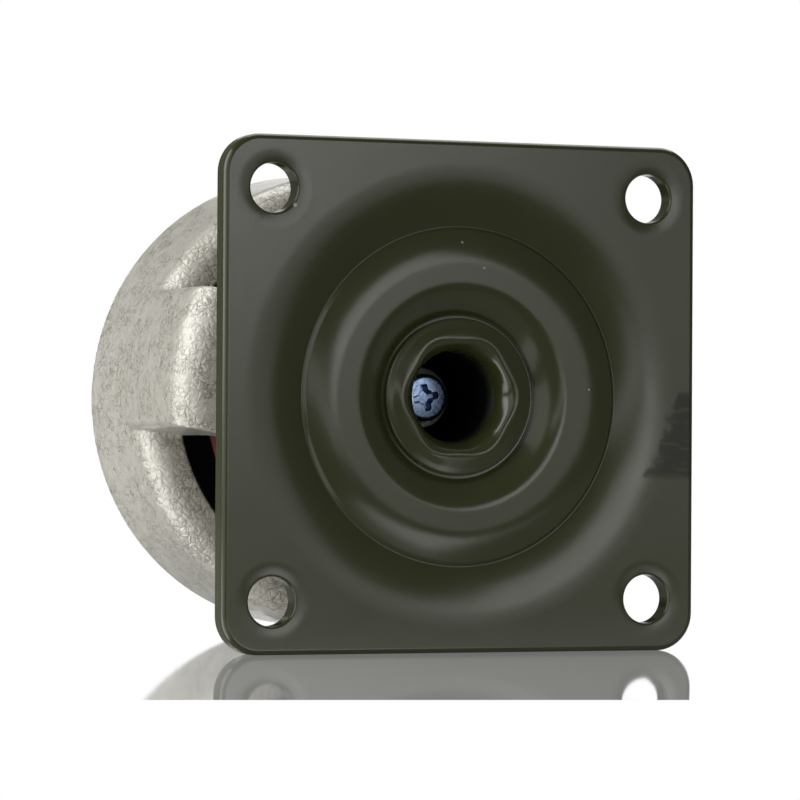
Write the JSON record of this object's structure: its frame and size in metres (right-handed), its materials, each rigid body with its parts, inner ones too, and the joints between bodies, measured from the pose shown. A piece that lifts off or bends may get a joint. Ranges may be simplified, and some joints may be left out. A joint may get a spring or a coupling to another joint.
{
  "type": "levelling swivel castor",
  "caption": "Plate swivel castor with a dished square top plate, a cast drum body, a trailing wheel and a dial-driven screw-down levelling foot.",
  "frame": {"origin": "centre of the mounting plate's top face, on the swivel axis", "axes": "+Z out of the plate along the swivel axis, away from the floor; X and Y along the plate's sides; the wheel trails towards +X, turned 10 degrees towards -Y at rest"},
  "size_m": [0.099, 0.073, 0.084],
  "materials": {
    "plate_paint": "semi-gloss olive grey paint",
    "body_paint": "hammered beige grey paint on a die casting",
    "steel": "bright steel",
    "zinc": "blue zinc plate",
    "dial_red": "red moulded plastic",
    "brass": "machined brass",
    "pad_rubber": "matt black rubber",
    "wheel_nylon": "black nylon"
  },
  "bodies": {
    "plate": {"mounting_plate": "plate_paint", "kingpin": "plate_paint", "kingpin_ring": "steel", "retaining_ring": "steel", "lower_balls": "steel"},
    "housing": {"swivel_body": "body_paint", "upper_balls": "steel", "upper_thrust_washer": "steel", "lower_thrust_washer": "steel", "bearing_inner_rings": "steel", "bearing_spacer": "steel", "side_spacers": "zinc", "axle_bolt": "zinc", "axle_washers": "zinc", "lock_nut": "zinc"},
    "dial": {"adjusting_dial": "dial_red", "dial_nut": "brass"},
    "foot": {"spindle": "zinc", "stop_washer": "zinc", "stop_screw": "zinc", "pad_cup": "zinc", "rubber_pad": "pad_rubber"},
    "wheel": {"wheel": "wheel_nylon", "bearing_outer_rings": "steel", "bearing_balls": "steel", "bearing_shields": "steel"}
  },
  "joints": [
    {"name": "swivel", "type": "hinge", "parent": "plate", "child": "housing", "pos_m": [0, 0, -0.015], "axis": [0, 0, 1], "continuous": true},
    {"name": "wheel_spin", "type": "hinge", "parent": "housing", "child": "wheel", "pos_m": [0.03742, -0.0066, -0.06], "axis": [0.1736, 0.9848, 0], "continuous": true},
    {"name": "dial_turn", "type": "hinge", "parent": "housing", "child": "dial", "pos_m": [0, 0, -0.035], "axis": [0, 0, 1], "range_deg": [0, 3120]},
    {"name": "foot_travel", "type": "slide", "parent": "housing", "child": "foot", "axis": [0, 0, -1], "range_m": [0, 0.013]}
  ],
  "couplings": [
    {"joint": "foot_travel", "follows": "dial_turn", "m_per_rad": 0.00023873}
  ]
}
